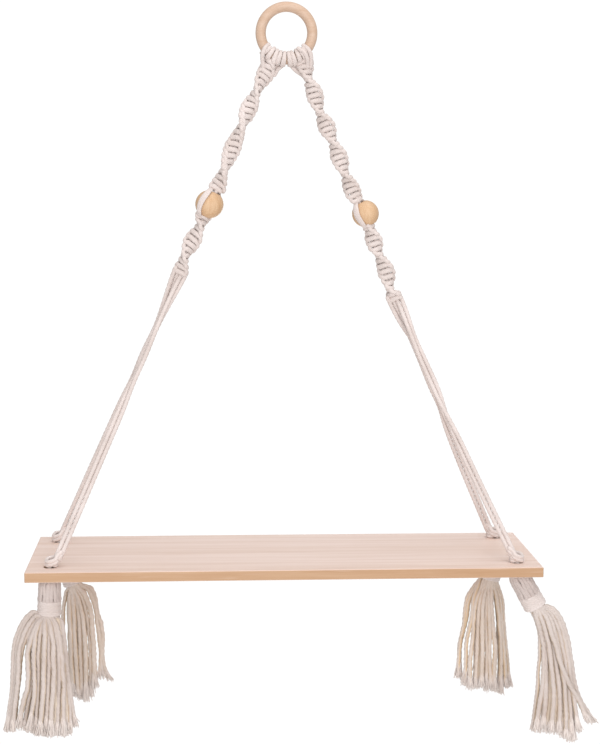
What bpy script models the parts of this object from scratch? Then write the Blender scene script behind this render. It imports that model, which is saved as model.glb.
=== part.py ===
"""A macrame hanging shelf: a wooden ring, two knotted cotton sides with a bead each, a board and four tassels.

Metres, +Z up, +Y away from the viewer and towards the wall.
The origin is the point inside the top of the ring where a hook or nail carries it.
"""

import math
from collections import namedtuple

import bmesh
import bpy
from mathutils import Matrix, Vector

# Driving dimensions

GAP = 0.0003                 # room between pieces that touch
CORD = 0.0043                # diameter of the cotton cord

RING_OUTER = 0.060           # outside diameter of the ring
RING_SECTION = 0.010         # thickness of its round wood
WRAPS = 5                    # turns of cord that each side has round the ring
WRAP_FIRST = 1.5             # degrees from the bottom of the ring to a side's first turn
WRAP_LAST = 55.0             # and to the end of its last
WRAP_THICKNESS = 0.0027      # cord pulled flat against the ring

BOARD_LENGTH = 0.500
BOARD_DEPTH = 0.150
BOARD_THICKNESS = 0.010
BOARD_TOP = -0.533           # height of the shelf face below the hanging point
BOARD_SHIFT = -0.0017        # the board hangs a little left of the ring
BOARD_EDGE = 0.0006          # small rounding of its edges
HOLE_X = 0.228               # from the board's middle to each hole, along its length
HOLE_Y = 0.053               # the same, along its depth
HOLE_DIAMETER = 0.012

SINNET_WIDTH = 0.0178        # flat width of the twisted half-knot braid
SINNET_THICKNESS = 0.0088
SINNET_VALLEY = 0.62         # thickness between two knots, as a share of the full one
SINNET_SQUARENESS = 0.7      # power on the sine of its oval outline: 1 is an ellipse, less is squarer
KNOT_PITCH = 0.0058          # one half knot along the braid

BEAD_BORE = 0.0098
CORE_RADIUS = 0.0020         # the two cords squeezed inside the bead's bore
CORE_SPREAD = 0.0021         # from the bore's axis to each of them
CORE_OVERLAP = 0.004         # how far they run on into the braids
BEAD_CORD_START = 200.0      # where a cord leaves the braid, in degrees round the bead's axis
BEAD_CORD_END = 250.0        # and where it lies against the bead
BEAD_CORD_EASING = 2.5       # power of the swing from the one angle to the other
BEAD_CORD_TILT = 56.0        # how far up and down the bead it lies, in degrees
TUCK_ALONG = 0.006           # its ends run this far into the braids
TUCK_INWARD = 0.002          # and this far in from the bead's surface

KNOT_HEIGHT = 0.0112         # stopper knot on the board
KNOT_DEPTH = 0.0066          # half its depth
KNOT_ENTRY = 0.0042          # how far inwards of its middle the loose cords come in
ENTRY_HEIGHT = 0.0084        # and how far above the board
LOOSE_OVERLAP = 0.003        # how far they start inside the braid
THROUGH_RADIUS = 0.00206     # the two cords in a board's hole
THROUGH_SPREAD = 0.00211     # from the hole's axis to each of them
THROUGH_TOP = 0.0045         # where they start inside the knot, above the board

STRANDS = 24                 # strands in each tassel
STRAND_RADIUS = 0.0026
ROOT_RADIUS = 0.0011         # strands are squeezed where the binding holds them
HEAD_TOP_RADIUS = 0.0062
HEAD_RADIUS = 0.0106
HEAD_SHOULDER = 0.0075       # from the board to the head's full width
SHOULDER_GROOVE = 0.88       # radius between two ridges of the head, as a share, at its shoulder
HEAD_GROOVE = 0.92           # and above its binding
NECK_RADIUS = 0.0089         # the head inside its binding
NECK_OVERHANG = 0.0015       # how far it runs on below the binding
ROOT_SPREAD = 0.0072         # how far out the roots lie
ROOT_DEPTH = 0.0030          # how far up inside the binding the strands start
BROW_DROP = 0.0035           # how far below it they begin to spread
BROW_SPREAD = 0.0079         # and how far out they lie there
ROOT_SHARE = 0.2             # the share of a strand's length that is squeezed
SWELL_RATE = 1.5             # how fast it swells after that
UNEVENNESS = 0.06            # the most that a strand is shorter, as a share
BINDING_RADIUS = 0.0117
BINDING_GROOVE = 0.0010      # depth of the grooves between its turns
BINDING_LENGTH = 0.0160
BINDING_TURNS = 4
TASSEL_FLATNESS = 0.75       # a tassel's depth as a share of its width
FLAT_FROM = 1 / 3            # the share of the way down at which it has that

# The braid of each side, from the ring down. Turn counts half twists: whole at a lobe's middle, half at a waist.
Stop = namedtuple("Stop", "x z turn")

LEFT_UPPER = [
    Stop(-0.0162, -0.0464, 0.67),
    Stop(-0.0178, -0.0506, 0.79),
    Stop(-0.0199, -0.0580, 1.00),
    Stop(-0.0286, -0.0754, 1.50),
    Stop(-0.0362, -0.0918, 2.00),
    Stop(-0.0430, -0.1091, 2.50),
    Stop(-0.0522, -0.1304, 3.00),
    Stop(-0.0607, -0.1527, 3.50),
    Stop(-0.0682, -0.1722, 4.08),
]
LEFT_LOWER = [
    Stop(-0.0812, -0.1978, 4.12),
    Stop(-0.0830, -0.2046, 4.50),
    Stop(-0.0914, -0.2209, 5.00),
    Stop(-0.0990, -0.2360, 5.50),
    Stop(-0.1038, -0.2520, 5.95),
]
RIGHT_UPPER = [
    Stop(0.0164, -0.0464, 0.95),
    Stop(0.0186, -0.0506, 1.08),
    Stop(0.0216, -0.0640, 1.50),
    Stop(0.0279, -0.0784, 2.00),
    Stop(0.0330, -0.0958, 2.50),
    Stop(0.0400, -0.1095, 3.00),
    Stop(0.0460, -0.1239, 3.50),
    Stop(0.0525, -0.1394, 4.00),
    Stop(0.0584, -0.1556, 4.50),
    Stop(0.0650, -0.1700, 5.00),
    Stop(0.0709, -0.1815, 5.36),
]
RIGHT_LOWER = [
    Stop(0.0822, -0.2066, 5.46),
    Stop(0.0836, -0.2105, 5.60),
    Stop(0.0875, -0.2208, 6.00),
    Stop(0.0928, -0.2345, 6.50),
    Stop(0.0999, -0.2506, 7.00),
    Stop(0.1042, -0.2688, 7.50),
    Stop(0.1082, -0.2765, 7.85),
]

# How the two pairs of loose cords lie below the braid. Down is the share of the way to the board.
# Shift moves a pair sideways and turn is the angle of its two cords, 90 with one behind the other.
Loose = namedtuple("Loose", "down front_shift front_turn rear_shift rear_turn")

LEFT_LOOSE = [
    Loose(0.00, 0.0042, 0, -0.0042, 0),
    Loose(0.07, 0.0022, 40, -0.0022, 30),
    Loose(0.19, 0.0002, 90, -0.0002, 90),
    Loose(0.31, 0.0014, 90, -0.0020, 90),
    Loose(0.38, -0.0006, 110, 0.0006, 110),
    Loose(0.50, 0.0000, 165, 0.0000, 165),
    Loose(0.65, 0.0000, 180, 0.0000, 180),
    Loose(1.00, 0.0000, 175, 0.0000, 180),
]
RIGHT_LOOSE = [
    Loose(0.00, 0.0042, 0, -0.0042, 0),
    Loose(0.08, 0.0030, 10, -0.0028, 25),
    Loose(0.15, 0.0008, 60, -0.0008, 80),
    Loose(0.23, 0.0000, 15, 0.0020, 150),
    Loose(0.35, 0.0000, 0, 0.0016, 180),
    Loose(0.45, -0.0016, 90, 0.0014, 90),
    Loose(0.56, -0.0016, 150, 0.0000, 160),
    Loose(0.72, -0.0014, 165, -0.0006, 180),
    Loose(1.00, 0.0000, 180, 0.0000, 180),
]

Side = namedtuple("Side", "name sign upper lower loose bead_x bead_z bead_diameter")

SIDES = [
    Side("left", -1, LEFT_UPPER, LEFT_LOWER, LEFT_LOOSE, -0.0748, -0.1850, 0.0276),
    Side("right", 1, RIGHT_UPPER, RIGHT_LOWER, RIGHT_LOOSE, 0.0786, -0.1936, 0.0264),
]

# The four corners: the stopper knot on the board, and the neck of the tassel below it
Corner = namedtuple("Corner", "name sign depth knot_x knot_half neck_x neck_z")

CORNERS = [
    Corner("front_left", -1, -1, -0.2262, 0.0084, -0.2309, -0.5800),
    Corner("front_right", 1, -1, 0.2259, 0.0072, 0.2462, -0.5782),
    Corner("rear_left", -1, 1, -0.2305, 0.0070, -0.2150, -0.5775),
    Corner("rear_right", 1, 1, 0.2222, 0.0070, 0.2190, -0.5775),
]

# How each tassel hangs below its neck: the middle and half width of its belly and of its hem
Drape = namedtuple("Drape", "belly_x belly_z belly_half hem_x hem_z hem_half")

DRAPES = {
    "front_left": Drape(-0.2415, -0.614, 0.0230, -0.2385, -0.700, 0.0325),
    "front_right": Drape(0.2650, -0.620, 0.0160, 0.2720, -0.706, 0.0315),
    "rear_left": Drape(-0.2035, -0.633, 0.0185, -0.2030, -0.697, 0.0260),
    "rear_right": Drape(0.2130, -0.633, 0.0215, 0.2140, -0.693, 0.0285),
}

# Where the bends of a tassel's strands are, as shares of the way from root to hem
STRAND_BENDS = [0.0, 0.06, 0.16, 0.34, 0.62, 1.0]

# Heights and widths of a stopper knot from the bottom up, as shares of its size
Level = namedtuple("Level", "height width")

KNOT_LEVELS = [
    Level(0.00, 0.55),
    Level(0.14, 0.92),
    Level(0.30, 0.80),
    Level(0.50, 1.00),
    Level(0.68, 0.78),
    Level(0.86, 0.84),
    Level(1.00, 0.50),
]

# Colours as linear red, green and blue, with roughness
COTTON = (0.83, 0.77, 0.71, 0.95)
PALE_WOOD = (0.80, 0.60, 0.45, 0.55)
BEAD_WOOD = (0.82, 0.58, 0.38, 0.45)

# Worked out from them

RING_CENTRE = Vector((0, 0, RING_SECTION - RING_OUTER / 2))
RING_RADIUS = (RING_OUTER - RING_SECTION) / 2
BOARD_BOTTOM = BOARD_TOP - BOARD_THICKNESS
RIGHTWARDS = Vector((1, 0, 0))
BACKWARDS = Vector((0, 1, 0))
UPWARDS = Vector((0, 0, 1))
GOLDEN_ANGLE = math.pi * (3 - math.sqrt(5))   # evenly spreads the strands round a tassel


def collection(name):
    """A new collection in the scene."""
    made = bpy.data.collections.new(name)
    bpy.context.scene.collection.children.link(made)
    return made


def material(name, colour):
    """A plain Principled material."""
    made = bpy.data.materials.new(name)
    made.use_nodes = True
    shader = made.node_tree.nodes["Principled BSDF"]
    shader.inputs["Base Color"].default_value = (*colour[:3], 1)
    shader.inputs["Roughness"].default_value = colour[3]
    shader.inputs["Metallic"].default_value = 0
    return made


def move_to(home, piece):
    """Takes a piece out of its collections and into this one."""
    for old in list(piece.users_collection):
        old.objects.unlink(piece)
    home.objects.link(piece)


def curve_through(points):
    """A function of 0 to 1 that runs smoothly through the points, and their length."""
    points = [Vector(p) for p in points]
    reach = [0.0]
    for a, b in zip(points, points[1:]):
        reach.append(reach[-1] + (b - a).length)
    padded = [points[0] * 2 - points[1]] + points + [points[-1] * 2 - points[-2]]

    def at(share):
        target = min(max(share, 0.0), 1.0) * reach[-1]
        i = 0
        while i < len(points) - 2 and reach[i + 1] < target:
            i += 1
        t = (target - reach[i]) / (reach[i + 1] - reach[i])
        a, b, c, d = padded[i:i + 4]
        straight = 2 * b + (c - a) * t
        bend = (2 * a - 5 * b + 4 * c - d) * t ** 2 + (3 * b - a - 3 * c + d) * t ** 3
        return (straight + bend) / 2

    return at, reach[-1]


def read(rows, column, value, field):
    """A table's field where its column has the value, in straight steps between rows."""
    for low, high in zip(rows, rows[1:]):
        a = getattr(low, column)
        b = getattr(high, column)
        share = (value - a) / (b - a)
        if share <= 1 or high is rows[-1]:
            share = min(max(share, 0.0), 1.0)
            return getattr(low, field) * (1 - share) + getattr(high, field) * share


def circle(centre, across, up, radius, count):
    """Points round a circle in the plane of two unit directions."""
    points = []
    for k in range(count):
        angle = 2 * math.pi * k / count
        points.append(centre + radius * (math.cos(angle) * across + math.sin(angle) * up))
    return points


def object_of(name, mesh, finish):
    """An object that shows the mesh, in the shelf's collection."""
    mesh.materials.clear()
    mesh.materials.append(finish)
    made = bpy.data.objects.new(name, mesh)
    shelf.objects.link(made)
    return made


def mesh_of(name, build):
    """A mesh filled by build, which is given an empty bmesh."""
    form = bmesh.new()
    build(form)
    bmesh.ops.recalc_face_normals(form, faces=form.faces)
    mesh = bpy.data.meshes.new(name)
    form.to_mesh(mesh)
    form.free()
    return mesh


def skin(form, rings):
    """Faces between neighbouring rings of points, and the rings' vertices."""
    rows = [[form.verts.new(p) for p in ring] for ring in rings]
    count = len(rows[0])
    for low, high in zip(rows, rows[1:]):
        for k in range(count):
            form.faces.new((low[k], low[(k + 1) % count], high[(k + 1) % count], high[k]))
    return rows


def loft(name, rings, finish):
    """A closed body skinned over rings of points, with a flat cap at both ends."""

    def build(form):
        rows = skin(form, rings)
        form.faces.new(rows[0][::-1])
        form.faces.new(rows[-1])

    return object_of(name, mesh_of(name, build), finish)


def sleeve(name, outer, inner, finish):
    """A tube wall between two stacks of rings, open at both ends."""

    def build(form):
        outside = skin(form, outer)
        inside = skin(form, inner)
        count = len(outer[0])
        for end in (0, -1):
            rim = outside[end]
            bore = inside[end]
            for k in range(count):
                form.faces.new((rim[k], rim[(k + 1) % count], bore[(k + 1) % count], bore[k]))

    return object_of(name, mesh_of(name, build), finish)


def tubes(name, routes, radius, resolution, swell=None):
    """Cotton cords along the routes, with closed ends. Swell gives the radius at a share of the way, as a share."""
    data = bpy.data.curves.new(name, "CURVE")
    data.dimensions = "3D"
    data.bevel_depth = radius
    data.bevel_resolution = resolution
    data.use_fill_caps = True
    for route in routes:
        spline = data.splines.new("POLY")
        spline.points.add(len(route) - 1)
        for i, place in enumerate(route):
            spline.points[i].co = (*place, 1)
            spline.points[i].radius = swell(i / (len(route) - 1)) if swell else 1.0
    guide = bpy.data.objects.new(name, data)
    shelf.objects.link(guide)
    mesh = evaluated_mesh(guide)
    bpy.data.objects.remove(guide)
    form = bmesh.new()
    form.from_mesh(mesh)
    bmesh.ops.remove_doubles(form, verts=form.verts, dist=0.00001)
    bmesh.ops.recalc_face_normals(form, faces=form.faces)
    form.to_mesh(mesh)
    form.free()
    return object_of(name, mesh, cotton)


def evaluated_mesh(piece):
    """The mesh that a piece shows, with its modifiers done."""
    bpy.context.view_layer.update()
    return bpy.data.meshes.new_from_object(piece.evaluated_get(bpy.context.evaluated_depsgraph_get()))


def fuse(name, pieces):
    """One body of cotton out of pieces that overlap."""
    whole = pieces[0]
    for piece in pieces[1:]:
        joint = whole.modifiers.new(piece.name, "BOOLEAN")
        joint.operation = "UNION"
        joint.solver = "MANIFOLD"
        joint.object = piece
    mesh = evaluated_mesh(whole)
    for piece in pieces:
        bpy.data.objects.remove(piece)
    return object_of(name, mesh, cotton)


def ring():
    """The wooden ring, in the plane that faces the viewer."""
    bpy.ops.mesh.primitive_torus_add(
        major_segments=36,
        minor_segments=10,
        major_radius=RING_RADIUS,
        minor_radius=RING_SECTION / 2,
        location=RING_CENTRE,
        rotation=(math.radians(90), 0, 0),
    )
    made = bpy.context.object
    made.name = "ring"
    made.data.materials.append(ring_wood)
    move_to(shelf, made)
    made.data.shade_smooth()


def board():
    """The shelf board, with a hole near each corner for the cords."""
    bpy.ops.mesh.primitive_cube_add(size=1, location=(BOARD_SHIFT, 0, BOARD_TOP - BOARD_THICKNESS / 2))
    made = bpy.context.object
    made.name = "board"
    made.data.transform(Matrix.Diagonal((BOARD_LENGTH, BOARD_DEPTH, BOARD_THICKNESS, 1)))
    made.data.materials.append(board_wood)
    move_to(shelf, made)
    edge = made.modifiers.new("Edge", "BEVEL")
    edge.width = BOARD_EDGE
    edge.segments = 1
    for corner in CORNERS:
        cut_hole(made, corner)


def cut_hole(made, corner):
    """One through hole, cut by a cylinder that is no part of the shelf."""
    bpy.ops.mesh.primitive_cylinder_add(
        vertices=16,
        radius=HOLE_DIAMETER / 2,
        depth=4 * BOARD_THICKNESS,
        location=hole(corner, BOARD_TOP),
    )
    cutter = bpy.context.object
    cutter.name = f"hole_{corner.name}"
    cutter.hide_render = True
    cutter.display_type = "WIRE"
    move_to(cutters, cutter)
    cut = made.modifiers.new(cutter.name, "BOOLEAN")
    cut.operation = "DIFFERENCE"
    cut.object = cutter


def hole(corner, height):
    """The middle of a corner's hole at a height."""
    return Vector((BOARD_SHIFT + corner.sign * HOLE_X, corner.depth * HOLE_Y, height))


def bead_frame(side):
    """The bead's centre, the downward direction of its bore, and the direction across it in view."""
    above = side.upper[-1]
    below = side.lower[0]
    centre = Vector((side.bead_x, 0, side.bead_z))
    along = Vector((below.x - above.x, 0, below.z - above.z)).normalized()
    return centre, along, along.cross(BACKWARDS)


def bead(side):
    """A wooden bead with a bore, turned from its profile."""
    name = f"bead_{side.name}"
    radius = side.bead_diameter / 2
    rim = math.asin(BEAD_BORE / side.bead_diameter)
    steps = 10

    def build(form):
        points = []
        for i in range(steps + 1):
            angle = rim + (math.pi - 2 * rim) * i / steps
            points.append(form.verts.new((radius * math.sin(angle), 0, radius * math.cos(angle))))
        for a, b in zip(points, points[1:] + points[:1]):
            form.edges.new((a, b))

    made = object_of(name, mesh_of(name, build), bead_wood)
    turned = made.modifiers.new("Turned", "SCREW")
    turned.steps = 20
    turned.render_steps = 20
    turned.use_merge_vertices = True
    turned.merge_threshold = 0.00005
    centre, along, _ = bead_frame(side)
    made.location = centre
    made.rotation_mode = "QUATERNION"
    made.rotation_quaternion = (-UPWARDS).rotation_difference(along)


def sinnet(name, stops):
    """A braid of half knots: an oval bar that twists, with a ridge for each knot on both flat faces."""
    sides = 10
    step = 0.01
    at, length = curve_through([(s.x, 0, s.z) for s in stops])
    samples = 2 * round(length / KNOT_PITCH)
    rings = []
    for i in range(samples + 1):
        share = i / samples
        centre = at(share)
        along = (at(share + step) - at(share - step)).normalized()
        across = along.cross(BACKWARDS)
        turn = math.pi * read(stops, "z", centre.z, "turn")
        wide = math.cos(turn) * across + math.sin(turn) * BACKWARDS
        thin = math.cos(turn) * BACKWARDS - math.sin(turn) * across
        points = []
        for k in range(sides):
            angle = 2 * math.pi * k / sides
            front = math.sin(angle) > 0
            rail = k in (0, sides // 2)
            raised = 1.0 if rail or front == (i % 2 == 0) else SINNET_VALLEY
            depth = raised * math.copysign(abs(math.sin(angle)) ** SINNET_SQUARENESS, math.sin(angle))
            points.append(centre + SINNET_WIDTH / 2 * math.cos(angle) * wide + SINNET_THICKNESS / 2 * depth * thin)
        rings.append(points)
    return loft(name, rings, cotton)


def ring_wraps(side):
    """The turns of cord round the ring, as one ridged sleeve that clears the wood."""
    bore = RING_SECTION / 2 + GAP
    outer = []
    inner = []
    for i in range(2 * WRAPS + 1):
        share = i / (2 * WRAPS)
        angle = math.radians(WRAP_FIRST + (WRAP_LAST - WRAP_FIRST) * share)
        outward = Vector((side.sign * math.sin(angle), 0, -math.cos(angle)))
        centre = RING_CENTRE + RING_RADIUS * outward
        thickness = WRAP_THICKNESS * (1.0 if i % 2 else 0.5)
        outer.append(circle(centre, outward, BACKWARDS, bore + thickness, 12))
        inner.append(circle(centre, outward, BACKWARDS, bore, 12))
    return sleeve(f"wraps_{side.name}", outer, inner, cotton)


def bead_cords(side):
    """Two cords through the bead's bore, and two that pass round its outside, front and rear."""
    centre, along, across = bead_frame(side)
    above = Vector((side.upper[-1].x, 0, side.upper[-1].z))
    below = Vector((side.lower[0].x, 0, side.lower[0].z))
    overlap = CORE_OVERLAP * along
    inside = []
    for way in (-1, 1):
        spread = way * CORE_SPREAD * BACKWARDS
        inside.append([p + spread for p in (above - overlap, above, centre, below, below + overlap)])
    core = tubes(f"core_{side.name}", inside, CORE_RADIUS, 1)
    reach = side.bead_diameter / 2 + CORD / 2 + 2 * GAP
    steps = 8
    outside = []
    for half in (0, 180):
        route = []
        for i in range(steps + 1):
            share = i / steps
            tilt = math.radians(BEAD_CORD_TILT * (2 * share - 1))
            turn = BEAD_CORD_END - (BEAD_CORD_END - BEAD_CORD_START) * (1 - share) ** BEAD_CORD_EASING
            angle = math.radians(turn + half)
            outward = math.cos(angle) * across + math.sin(angle) * BACKWARDS
            route.append(centre + reach * (math.sin(tilt) * along + math.cos(tilt) * outward))
            if i in (0, steps):
                tucked = route[-1] + (TUCK_ALONG if i else -TUCK_ALONG) * along - TUCK_INWARD * outward
                route.insert(len(route) if i else 0, tucked)
        outside.append(route)
    working = tubes(f"working_{side.name}", outside, CORD / 2, 1)
    return [core, working]


def loose_cords(side):
    """The four cords between the braid and the board, two to the front hole and two to the rear one."""
    steps = 17
    last = side.lower[-1]
    start = Vector((last.x, 0, last.z))
    cords = []
    for corner in CORNERS:
        if corner.sign != side.sign:
            continue
        row = "front" if corner.depth < 0 else "rear"
        end = Vector((corner.knot_x - side.sign * KNOT_ENTRY, corner.depth * HOLE_Y, BOARD_TOP + ENTRY_HEIGHT))
        along = (end - start).normalized()
        across = along.cross(BACKWARDS).normalized()
        for way in (-1, 1):
            route = [start - LOOSE_OVERLAP * along + route_offset(side, row, 0.0, way, across)]
            for i in range(steps + 1):
                down = i / steps
                route.append(start.lerp(end, down) + route_offset(side, row, down, way, across))
            cords.append(tubes(f"loose_{corner.name}_{way}", [route], CORD / 2, 1))
    return cords


def route_offset(side, row, down, way, across):
    """How far one cord of a pair lies from the straight line to its hole."""
    shift = read(side.loose, "down", down, f"{row}_shift")
    turn = math.radians(read(side.loose, "down", down, f"{row}_turn"))
    return shift * across + way * CORD / 2 * (math.cos(turn) * across + math.sin(turn) * BACKWARDS)


def stopper_knot(corner):
    """The knot on the board above a hole, with the turns of its cord as ridges."""
    rings = []
    for level in KNOT_LEVELS:
        centre = Vector((corner.knot_x, corner.depth * HOLE_Y, BOARD_TOP + GAP + level.height * KNOT_HEIGHT))
        broad = corner.knot_half * level.width * RIGHTWARDS
        deep = KNOT_DEPTH * level.width * BACKWARDS
        rings.append(circle(centre, broad, deep, 1, 10))
    return loft(f"knot_{corner.name}", rings, cotton)


def hole_cords(corner):
    """The two cords that go down from the knot through the board, down to the tassel's head."""
    routes = []
    for way in (-1, 1):
        spread = way * THROUGH_SPREAD * BACKWARDS
        routes.append([hole(corner, BOARD_TOP + THROUGH_TOP) + spread, hole(corner, BOARD_BOTTOM) + spread])
    return tubes(f"through_{corner.name}", routes, THROUGH_RADIUS, 1)


def macrame(side):
    """One knotted side, from its wraps round the ring to the cord ends in the board's holes."""
    pieces = [ring_wraps(side), sinnet(f"upper_{side.name}", side.upper), sinnet(f"lower_{side.name}", side.lower)]
    pieces += bead_cords(side)
    pieces += loose_cords(side)
    for corner in CORNERS:
        if corner.sign == side.sign:
            pieces.append(stopper_knot(corner))
            pieces.append(hole_cords(corner))
    fuse(f"macrame_{side.name}", pieces)


def head_frame(corner):
    """The end of a tassel's head, its downward direction, and a direction square to that."""
    top = hole(corner, BOARD_BOTTOM - GAP)
    neck = Vector((corner.neck_x, top.y, corner.neck_z))
    along = (neck - top).normalized()
    return top, neck, along, along.cross(BACKWARDS).normalized()


def tassel_head(corner):
    """The bundled head: ridged above its binding, narrow inside it."""
    top, neck, along, across = head_frame(corner)
    sides = 16
    binding_top = neck - BINDING_LENGTH * along
    levels = [
        (top + HEAD_SHOULDER * along, HEAD_RADIUS, SHOULDER_GROOVE),
        (binding_top - 3 * GAP * along, HEAD_RADIUS, HEAD_GROOVE),
        (binding_top - GAP * along, NECK_RADIUS, 1.0),
        (neck + NECK_OVERHANG * along, NECK_RADIUS, 1.0),
    ]
    rings = [circle(top, RIGHTWARDS, BACKWARDS, HEAD_TOP_RADIUS, sides)]
    for centre, radius, groove in levels:
        ridges = circle(centre, across, BACKWARDS, radius, sides)
        grooves = circle(centre, across, BACKWARDS, radius * groove, sides)
        rings.append([ridges[k] if k % 2 else grooves[k] for k in range(sides)])
    return loft(f"head_{corner.name}", rings, cotton)


def tassel_strands(corner):
    """The strands below the binding, spread from their roots to the belly and the hem."""
    _, neck, along, _ = head_frame(corner)
    drape = DRAPES[corner.name]
    depth = corner.depth * HOLE_Y
    at, _ = curve_through([
        (*(neck - ROOT_DEPTH * along), ROOT_SPREAD),
        (*(neck + BROW_DROP * along), BROW_SPREAD),
        (drape.belly_x, depth, drape.belly_z, drape.belly_half),
        (drape.hem_x, depth, drape.hem_z, drape.hem_half),
    ])
    routes = []
    for i in range(STRANDS):
        out = math.sqrt((i + 0.5) / STRANDS)
        angle = i * GOLDEN_ANGLE
        length = 1 - UNEVENNESS * (0.5 + 0.5 * math.sin(5 * i))
        route = []
        for share in STRAND_BENDS:
            x, y, z, half = at(share * length)
            flat = 1 - (1 - TASSEL_FLATNESS) * min(1.0, share / FLAT_FROM)
            route.append((
                x + out * half * math.cos(angle),
                y + out * half * flat * math.sin(angle),
                z,
            ))
        routes.append(route)

    def swell(share):
        return min(1.0, ROOT_RADIUS / STRAND_RADIUS + max(0.0, share - ROOT_SHARE) * SWELL_RATE)

    return tubes(f"strands_{corner.name}", routes, STRAND_RADIUS, 0, swell)


def binding(corner):
    """The cord wound round the neck of a tassel, as a ridged sleeve."""
    _, neck, along, across = head_frame(corner)
    outer = []
    inner = []
    for i in range(2 * BINDING_TURNS + 1):
        centre = neck - BINDING_LENGTH * (1 - i / (2 * BINDING_TURNS)) * along
        radius = BINDING_RADIUS if i % 2 else BINDING_RADIUS - BINDING_GROOVE
        outer.append(circle(centre, across, BACKWARDS, radius, 16))
        inner.append(circle(centre, across, BACKWARDS, NECK_RADIUS + GAP, 16))
    sleeve(f"binding_{corner.name}", outer, [inner[0], inner[-1]], cotton)


for old in list(bpy.data.objects):
    bpy.data.objects.remove(old)

shelf = collection("macrame_hanging_shelf")
cutters = collection("cutters")
cotton = material("cotton", COTTON)
board_wood = material("board_wood", PALE_WOOD)
ring_wood = material("ring_wood", PALE_WOOD)
bead_wood = material("bead_wood", BEAD_WOOD)

ring()
board()
for each in SIDES:
    bead(each)
    macrame(each)
for each in CORNERS:
    binding(each)
    fuse(f"tassel_{each.name}", [tassel_head(each), tassel_strands(each)])
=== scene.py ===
"""Looks of a macrame hanging shelf: ring, two knotted cotton sides with a bead each, board and four tassels.

Metres, +Z up, +Y towards the wall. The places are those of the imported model.
"""

import math
from collections import namedtuple

import bpy
import numpy as np
from mathutils import Matrix


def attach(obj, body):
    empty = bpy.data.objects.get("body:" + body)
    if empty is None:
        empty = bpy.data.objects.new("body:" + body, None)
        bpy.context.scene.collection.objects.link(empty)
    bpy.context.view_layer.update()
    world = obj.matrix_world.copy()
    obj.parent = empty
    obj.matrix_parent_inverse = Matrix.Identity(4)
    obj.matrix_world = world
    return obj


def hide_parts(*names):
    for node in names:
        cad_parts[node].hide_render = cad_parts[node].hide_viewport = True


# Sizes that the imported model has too

GAP = 0.0003
CORD = 0.0043
RING_OUTER = 0.060
RING_SECTION = 0.010
WRAPS = 5
WRAP_FIRST = 1.5
WRAP_LAST = 55.0
BOARD_TOP = -0.533
BOARD_THICKNESS = 0.010
BOARD_SHIFT = -0.0017
HOLE_X = 0.228
HOLE_Y = 0.053
KNOT_PITCH = 0.0058
BEAD_BORE = 0.0098
KNOT_HEIGHT = 0.0112
KNOT_ENTRY = 0.0042
HEAD_RADIUS = 0.0106
HEAD_SHOULDER = 0.0075
BINDING_RADIUS = 0.0117
BINDING_LENGTH = 0.0160
TASSEL_FLATNESS = 0.75

Stop = namedtuple("Stop", "x z turn")

LEFT_UPPER = [
    Stop(-0.0162, -0.0464, 0.67),
    Stop(-0.0178, -0.0506, 0.79),
    Stop(-0.0199, -0.0580, 1.00),
    Stop(-0.0286, -0.0754, 1.50),
    Stop(-0.0362, -0.0918, 2.00),
    Stop(-0.0430, -0.1091, 2.50),
    Stop(-0.0522, -0.1304, 3.00),
    Stop(-0.0607, -0.1527, 3.50),
    Stop(-0.0682, -0.1722, 4.08),
]
LEFT_LOWER = [
    Stop(-0.0812, -0.1978, 4.12),
    Stop(-0.0830, -0.2046, 4.50),
    Stop(-0.0914, -0.2209, 5.00),
    Stop(-0.0990, -0.2360, 5.50),
    Stop(-0.1038, -0.2520, 5.95),
]
RIGHT_UPPER = [
    Stop(0.0164, -0.0464, 0.95),
    Stop(0.0186, -0.0506, 1.08),
    Stop(0.0216, -0.0640, 1.50),
    Stop(0.0279, -0.0784, 2.00),
    Stop(0.0330, -0.0958, 2.50),
    Stop(0.0400, -0.1095, 3.00),
    Stop(0.0460, -0.1239, 3.50),
    Stop(0.0525, -0.1394, 4.00),
    Stop(0.0584, -0.1556, 4.50),
    Stop(0.0650, -0.1700, 5.00),
    Stop(0.0709, -0.1815, 5.36),
]
RIGHT_LOWER = [
    Stop(0.0822, -0.2066, 5.46),
    Stop(0.0836, -0.2105, 5.60),
    Stop(0.0875, -0.2208, 6.00),
    Stop(0.0928, -0.2345, 6.50),
    Stop(0.0999, -0.2506, 7.00),
    Stop(0.1042, -0.2688, 7.50),
    Stop(0.1082, -0.2765, 7.85),
]

Loose = namedtuple("Loose", "down front_shift front_turn rear_shift rear_turn")

LEFT_LOOSE = [
    Loose(0.00, 0.0042, 0, -0.0042, 0),
    Loose(0.07, 0.0022, 40, -0.0022, 30),
    Loose(0.19, 0.0002, 90, -0.0002, 90),
    Loose(0.31, 0.0014, 90, -0.0020, 90),
    Loose(0.38, -0.0006, 110, 0.0006, 110),
    Loose(0.50, 0.0000, 165, 0.0000, 165),
    Loose(0.65, 0.0000, 180, 0.0000, 180),
    Loose(1.00, 0.0000, 175, 0.0000, 180),
]
RIGHT_LOOSE = [
    Loose(0.00, 0.0042, 0, -0.0042, 0),
    Loose(0.08, 0.0030, 10, -0.0028, 25),
    Loose(0.15, 0.0008, 60, -0.0008, 80),
    Loose(0.23, 0.0000, 15, 0.0020, 150),
    Loose(0.35, 0.0000, 0, 0.0016, 180),
    Loose(0.45, -0.0016, 90, 0.0014, 90),
    Loose(0.56, -0.0016, 150, 0.0000, 160),
    Loose(0.72, -0.0014, 165, -0.0006, 180),
    Loose(1.00, 0.0000, 180, 0.0000, 180),
]

# How far a knot's bar leans in view, in knots for 5 mm across; less than 0 lifts its right end
Slope = namedtuple("Slope", "z lean")

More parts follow.
